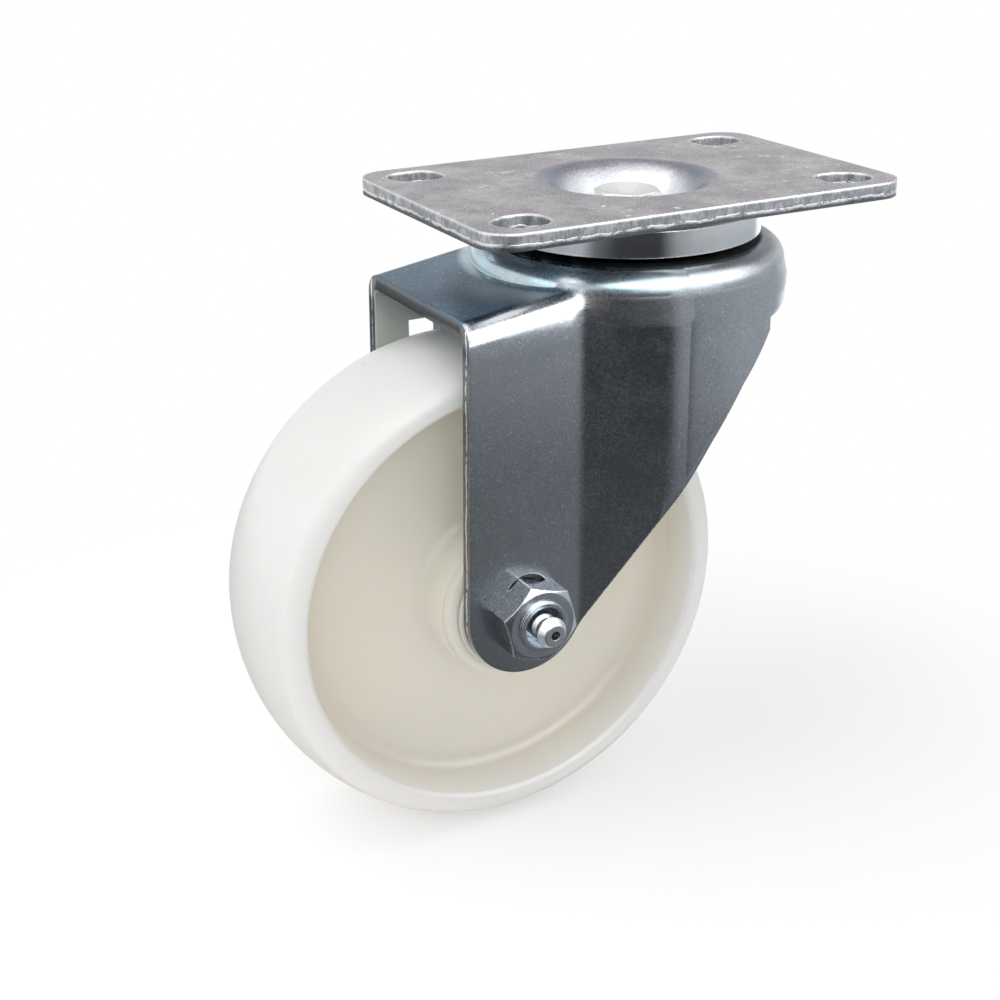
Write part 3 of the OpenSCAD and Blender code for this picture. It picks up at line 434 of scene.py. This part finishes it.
    r = s.add(s.ramp(mid, 0.3, 0.7, 0.21, 0.28), s.ramp(cloud, 0.3, 0.7, -0.03, 0.04))
    shoulder = s.times(s.ramp(z, *SHOULDER_Z), s.ramp(x, *SHOULDER_X), 0.11)
    dull = s.add(groove, s.add(s.times(corner, web), inner))
    r = s.add(r, shoulder, s.times(dull, 0.25))
    height = s.add(s.times(fine, 0.5), s.times(mid, 0.4))
    s.set(Base_Color=col, Metallic=1.0, Roughness=r, Normal=s.bump(height, 0.10, FORK_GRAIN, normal))
    return s


def race_metal():
    """The ring under the plate: bright and turned, greyer towards its lower edge, with a light lip."""
    s = Shader("bright_race")
    z = s.axis("Z")
    turned = s.noise(40.0, 2.0, 0.5, vector=s.mapping(scale=(1, 1, 90)))
    mid = s.noise(1800.0, 3.0, 0.6)
    blot = s.noise(130.0, 3.0, 0.6)
    col = s.mix(s.ramp(blot, 0.4, 0.7), RACE_BRIGHT, RACE_GREY)
    col = s.mix(s.times(s.ramp(z, *RACE_LOW_Z), 0.5), col, RACE_LOW)
    col = s.mix(s.ramp(mid, 0.60, 0.74, 0.0, 0.35), col, PLATE_WEAR_AND_HIGHLIGHT)
    col = s.mix(s.times(s.ramp(z, *RACE_LIP_Z), 0.8), col, RUBBED)
    s.set(Base_Color=col, Metallic=1.0,
          Roughness=s.add(s.ramp(mid, 0.35, 0.7, 0.07, 0.14), s.ramp(blot, 0.4, 0.7, 0.0, 0.04)),
          Normal=s.bump(s.add(turned, s.times(mid, 0.3)), 0.10, FORK_GRAIN, s.bevel(0.0003)))
    return s


def nylon():
    """White nylon: creamier in the wheel's recess than on the milky rim."""
    s = Shader("white_nylon")
    big = s.noise(32.0, 3.0, 0.5)
    mid = s.noise(420.0, 4.0, 0.6)
    fine = s.noise(3600.0, 3.0, 0.55)
    cream = s.mix(s.ramp(big, 0.35, 0.65), NYLON_CREAM, NYLON_CREAM_2)
    milky = s.mix(s.ramp(big, 0.35, 0.65), NYLON_MILK, NYLON_MILK_2)
    col = s.mix(s.ramp(s.axle_radius(), *RECESS_R), milky, cream)
    col = s.mix(s.ramp(mid, 0.5, 0.8, 0.0, 0.2), col, NYLON_BLOTCH)

    # Small dark specks in the moulding, and light scratches on it
    cells = s.new("TexVoronoi", Vector=s.coord, Scale=150.0).outputs["Distance"]
    dots = s.times(s.ramp(cells, 0.03, 0.05, 1.0, 0.0), s.ramp(s.noise(60.0, 2.0), 0.58, 0.62), 0.45)
    col = s.mix(dots, col, NYLON_SPECK)
    marks = s.most(s.scratches((0.3, 0.8, 0.2), 0.6, 45.0, 30.0), s.scratches((1.2, 0.2, 0.7), 0.6, 60.0, 40.0))
    col = s.mix(s.times(marks, 0.25), col, NYLON_SCRATCH)
    height = s.minus(s.add(s.times(mid, 0.7), s.times(fine, 0.25)), s.times(marks, 0.5))
    s.set(Base_Color=col, Roughness=s.ramp(mid, 0.3, 0.7, 0.28, 0.38), IOR=1.53,
          Subsurface_Weight=0.5, Subsurface_Scale=0.008, Subsurface_Radius=(1.0, 0.85, 0.65),
          Normal=s.bump(height, 0.15, PLASTIC_GRAIN, s.bevel(0.0005)))
    return s


def plastic(name, a, b, rough):
    """Moulded plastic with two tones of one colour."""
    s = Shader(name)
    mid = s.noise(700.0, 4.0, 0.6)
    fine = s.noise(4200.0, 2.0, 0.5)
    col = s.mix(s.ramp(mid, 0.35, 0.7), a, b)
    s.set(Base_Color=col, Roughness=s.ramp(mid, 0.3, 0.7, rough - 0.06, rough + 0.08),
          Normal=s.bump(s.add(mid, s.times(fine, 0.5)), 0.2, PLASTIC_GRAIN, s.bevel(0.0002)))
    return s


PLATE = top_plate_metal()
FORK = fork_metal()
SHEET = plated("plated_sheet", (0.50, 0.515, 0.53), (0.44, 0.475, 0.515), 0.28)
FASTENER = plated("plated_fastener", (0.55, 0.575, 0.605), (0.47, 0.50, 0.54), 0.24,
                  grain=0.35, bevel=0.00035, scratch=0.5, speck=0.45, edge=0.7)
KINGPIN = plated("plated_kingpin", (0.88, 0.875, 0.85), (0.80, 0.80, 0.79), 0.28,
                 grain=0.35, bevel=0.00035, scratch=0.5, speck=0.4, edge=0.6)
AXLE_BOLT = plated("plated_axle_bolt", (0.66, 0.70, 0.75), (0.54, 0.59, 0.65), 0.22,
                   grain=0.35, bevel=0.00035, scratch=0.7, speck=0.5, edge=0.9)
FITTING = plated("plated_fitting", (0.82, 0.85, 0.87), (0.74, 0.78, 0.81), 0.30,
                 grain=0.3, bevel=0.0002, scratch=0.3, speck=0.4, edge=0.4)
STEEL = plated("hardened_steel", (0.20, 0.20, 0.205), (0.14, 0.135, 0.13), 0.2,
               grain=0.1, bevel=0.0002, scratch=0.2, speck=0.1, edge=0.0)
SPRING = plated("spring_steel", (0.32, 0.32, 0.34), (0.26, 0.26, 0.27), 0.3,
                grain=0.15, bevel=0.0001, scratch=0.1, speck=0.1, edge=0.0)
RACE = race_metal()
NYLON = nylon()
LOCK_NYLON = plastic("locking_nylon", (0.10, 0.17, 0.40), (0.13, 0.21, 0.46), 0.4)
SEAL = plastic("seal_plastic", (0.045, 0.045, 0.05), (0.065, 0.065, 0.07), 0.45)
CAGE = plastic("cage_plastic", (0.34, 0.25, 0.14), (0.42, 0.32, 0.19), 0.4)

LOOKS = {
    "top_plate": PLATE, "upper_race": RACE, "kingpin": KINGPIN, "lower_race": SHEET,
    "kingpin_nut": FASTENER, "load_balls": STEEL, "thrust_balls": STEEL, "fork": FORK,
    "axle_bolt": AXLE_BOLT, "axle_lock_nut": FASTENER, "nut_locking_ring": LOCK_NYLON,
    "axle_sleeve": STEEL, "near_thrust_washer": NYLON, "far_thrust_washer": NYLON,
    "grease_fitting": FITTING, "grease_check_ball": STEEL, "grease_spring": SPRING,
    "wheel": NYLON, "bearing_shell": STEEL, "near_bearing_seal": SEAL,
    "far_bearing_seal": SEAL, "roller_cage": CAGE, "rollers": STEEL,
}
for name, look in LOOKS.items():
    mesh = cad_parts[name].data
    mesh.materials.clear()
    mesh.materials.append(look.mat)


# Pieces that belong to the looks only

def mesh_object(name, verts, faces):
    me = bpy.data.meshes.new(name)
    me.from_pydata(verts, [], faces)
    me.update()
    ob = bpy.data.objects.new(name, me)
    SCENE.collection.objects.link(ob)
    return ob


def coil(name, start_y, radius, wire, turns, length, look, per_turn=28, ring=10):
    """Round wire wound along the axle from start_y, with its ends closed, on the fork's body."""
    verts, faces = [], []
    steps = turns * per_turn
    start = Vector((AXLE_X, start_y, AXLE_Z))
    lay = Vector((0, 0, 1)).rotation_difference(Vector((0, 1, 0))).to_matrix()
    for i in range(steps + 1):
        t = i / steps
        a = 2 * math.pi * turns * t
        mid = Vector((radius * math.cos(a), radius * math.sin(a), length * t))
        out = Vector((math.cos(a), math.sin(a), 0))
        for k in range(ring):
            b = 2 * math.pi * k / ring
            skin = wire * (math.cos(b) * out + math.sin(b) * Vector((0, 0, 1)))
            verts.append(lay @ (mid + skin) + start)
    for i in range(steps):
        for k in range(ring):
            a, b = i * ring + k, i * ring + (k + 1) % ring
            faces.append((a, b, b + ring, a + ring))
    faces.append(tuple(range(ring - 1, -1, -1)))
    faces.append(tuple(range(steps * ring, (steps + 1) * ring)))
    ob = mesh_object(name, verts, faces)
    for p in ob.data.polygons:
        p.use_smooth = True
    ob.data.materials.append(look.mat)
    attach(ob, "fork")
    return ob


spring = coil("grease_spring_coil", start_y=-0.02932, radius=0.00108, wire=0.0002, turns=7, length=0.0046,
              look=SPRING)
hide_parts("grease_spring")
coil("axle_bolt_thread", start_y=0.03095, radius=0.00464, wire=0.00022, turns=1, length=0.0006,
     look=AXLE_BOLT, per_turn=48)


# Floor, light and camera

def plane(name, size, place):
    bpy.ops.mesh.primitive_plane_add(size=1.0, location=place)
    ob = bpy.context.object
    ob.name = name
    ob.scale = (size[0], size[1], 1)
    return ob


def aim(ob, place, target, front):
    """Turns an object at place so that its front axis looks at the target."""
    ob.rotation_mode = "QUATERNION"
    ob.rotation_quaternion = (Vector(target) - Vector(place)).to_track_quat(front, "Y")


def only_reflected(ob):
    ob.visible_camera = False
    ob.visible_diffuse = False
    ob.visible_shadow = False
    ob.visible_transmission = False


def pale_floor(span=6.0):
    """A floor that keeps the castor's shadow and fades into the white backdrop away from it."""
    ob = plane("floor", (span, span), (0, 0, FLOOR_Z))
    s = Shader("floor")
    seen = s.new("LightPath").outputs["Is Camera Ray"]
    s.set(Base_Color=s.mix(seen, FLOOR_WARM, FLOOR_SEEN), Roughness=0.9,
          Specular_IOR_Level=0.1, Emission_Color=WHITE, Emission_Strength=0.22)
    away = s.new("VectorMath", {"operation": "DISTANCE"})
    s.put(away.inputs[0], s.coord)
    s.put(away.inputs[1], SHADOW_MIDDLE)
    fade = s.times(s.ramp(away.outputs["Value"], *SHADOW_END_R), seen)
    both = s.new("MixShader", Fac=fade)
    s.put(both.inputs[1], s.bsdf.outputs[0])
    s.put(both.inputs[2], s.new("Emission", Color=WHITE).outputs[0])
    s.put(s.out.inputs["Surface"], both.outputs[0])
    ob.data.materials.append(s.mat)
    ob.visible_glossy = False


# Brightness round the studio as the metal sees it: azimuth in degrees from the front, and level
NEAR_ZONES = ((-180, 0.22), (-125, 0.22), (-100, 0.26), (-70, 0.30), (-60, 0.075),
              (-10, 0.075), (4, 0.15), (18, 0.19), (42, 0.20), (58, 0.42),
              (105, 0.46), (118, 0.9), (147, 0.9), (158, 0.5), (178, 0.22))
FAR_ZONES = ((-180, 0.30), (-125, 0.30), (-100, 0.45), (-70, 0.50), (-58, 0.16),
             (-40, 0.05), (-4, 0.045), (10, 0.34), (24, 0.46), (60, 0.56),
             (105, 0.55), (116, 1.25), (150, 1.25), (162, 0.5), (178, 0.30))
ZONES_CHANGE_R, RING_GLOW_R = (0.255, 0.285), (0.10, 0.20)

# The brownish patch over the dark side: its lower edge in metres, and its sides as azimuths in radians
BROWN_Z, BROWN_LEFT, BROWN_RIGHT = (-0.11, -0.07), (-1.10, -1.0), (-0.15, -0.25)


def wall_height(deg, low):
    """The dark side and the lit side of the studio have low walls, and the rest has none."""
    if -64 < deg < -14:
        return 0.20
    return 0.10 if -14 <= deg < 112 else low + 0.001


def studio_ring(steps=180, wall=0.62):
    """The dark, grey and bright sides of the studio, as the metal reflects them low down."""
    low = FLOOR_Z - 0.0004
    verts = [(0, 0, low)]
    faces = []
    for i in range(steps):
        a = 2 * math.pi * i / steps
        deg = math.degrees(a) if a <= math.pi else math.degrees(a) - 360
        rim = (wall * math.sin(a), -wall * math.cos(a))
        verts += [(*rim, low), (*rim, wall_height(deg, low))]
    for i in range(steps):
        a, b = 1 + 2 * i, 1 + 2 * ((i + 1) % steps)
        faces += [(0, a, b), (a, a + 1, b + 1, b)]
    ob = mesh_object("studio_ring", verts, faces)
    s = Shader("studio_ring")
    geo = s.new("NewGeometry").outputs["Position"]
    x, y = s.axis("X", geo), s.axis("Y", geo)
    azimuth = s.math("ARCTAN2", x, s.times(y, -1.0))
    part = s.add(s.math("DIVIDE", azimuth, 2 * math.pi), 0.5)

    def zones(stops):
        ramp = s.new("ValToRGB", Fac=part)
        el = ramp.color_ramp.elements
        while len(el) < len(stops):
            el.new(0.5)
        for e, (deg, level) in zip(el, stops):
            e.position = (deg + 180) / 360
            e.color = (level * 0.96, level, level * 1.05, 1)
        return ramp.outputs[0]

    far = s.length(x, y)
    col = s.mix(s.ramp(far, *ZONES_CHANGE_R), zones(NEAR_ZONES), zones(FAR_ZONES))
    # A brownish patch over the dark side, as the crown shows it
    patch = s.times(s.ramp(s.axis("Z", geo), *BROWN_Z), s.ramp(azimuth, *BROWN_LEFT),
                    s.ramp(azimuth, *BROWN_RIGHT))
    s.emit(s.mix(patch, col, STUDIO_BROWN), s.ramp(far, *RING_GLOW_R, 1.45, 1.0))
    ob.data.materials.append(s.mat)
    only_reflected(ob)


def card(name, level, size, place):
    """A studio card that only reflections see, facing the swivel's centre."""
    ob = plane(name, size, place)
    aim(ob, place, SWIVEL_CENTRE, "Z")
    s = Shader(name)
    s.emit((level, level, level, 1))
    ob.data.materials.append(s.mat)
    only_reflected(ob)


def lamp(name, power, size, place, colour=(1, 1, 1)):
    """A soft box aimed at the castor's middle."""
    data = bpy.data.lights.new(name, "AREA")
    data.shape = "RECTANGLE"
    data.size, data.size_y = size
    data.energy = power
    data.color = colour
    ob = bpy.data.objects.new(name, data)
    ob.location = place
    aim(ob, place, CASTOR_MIDDLE, "-Z")
    SCENE.collection.objects.link(ob)


def white_world(lit, seen):
    """White for the camera, reflections and clear pieces, and a weaker light on the surfaces."""
    world = bpy.data.worlds.new("studio")
    SCENE.world = world
    world.use_nodes = True
    world.node_tree.nodes.clear()
    w = Nodes(world.node_tree)
    path = w.new("LightPath").outputs
    direct = w.most(w.most(path["Is Camera Ray"], path["Is Glossy Ray"]), path["Is Transmission Ray"])
    both = w.new("MixShader", Fac=direct)
    for i, strength in enumerate((lit, seen)):
        w.put(both.inputs[i + 1], w.new("Background", Color=WHITE, Strength=strength).outputs[0])
    w.put(w.new("OutputWorld").inputs["Surface"], both.outputs[0])


def photo_camera(turn, tilt, roll, focal_px, place):
    """The photograph's camera: angles in degrees, and the focal length for 1000 pixels."""
    az, el, roll = math.radians(turn), math.radians(tilt), math.radians(roll)
    back = Vector((math.sin(az) * math.cos(el), -math.cos(az) * math.cos(el), math.sin(el)))
    right = Vector((0, 0, 1)).cross(back).normalized()
    up = back.cross(right)
    rolled_right = math.cos(roll) * right + math.sin(roll) * up
    rolled_up = -math.sin(roll) * right + math.cos(roll) * up
    data = bpy.data.cameras.new("camera")
    data.sensor_width = 36.0
    data.lens = 36.0 * focal_px / 1000.0
    data.clip_start = 0.01
    data.clip_end = 20.0
    ob = bpy.data.objects.new("camera", data)
    SCENE.collection.objects.link(ob)
    m = Matrix((rolled_right, rolled_up, back)).transposed().to_4x4()
    m.translation = Vector(place)
    ob.matrix_world = m
    return ob


pale_floor()
studio_ring()
card("back_card", level=0.80, size=(1.8, 1.0), place=(0.45, 0.95, 0.46))
card("dish_card", level=1.7, size=(0.36, 0.30), place=(-0.099, -0.187, 0.453))
card("shoulder_card", level=3.1, size=(1.0, 0.44), place=(0.112, -0.366, 0.306))
card("shade_card", level=0.15, size=(0.26, 0.17), place=(-0.219, -0.349, 0.090))
lamp("top_box", power=0.8, size=(0.5, 0.5), place=(-0.16, 0.04, 0.52))
lamp("left_box", power=0.45, size=(0.4, 0.5), place=(-0.50, -0.05, 0.30))
lamp("front_fill", power=0.7, size=(0.6, 0.4), place=(-0.30, -0.65, 0.30), colour=(0.78, 0.89, 1.0))
white_world(lit=0.67, seen=1.0)
SCENE.camera = photo_camera(turn=-27.75, tilt=22.84, roll=-0.59, focal_px=1685.0,
                            place=(-0.1770, -0.2809, 0.0705))
SCENE.view_settings.view_transform = "Standard"
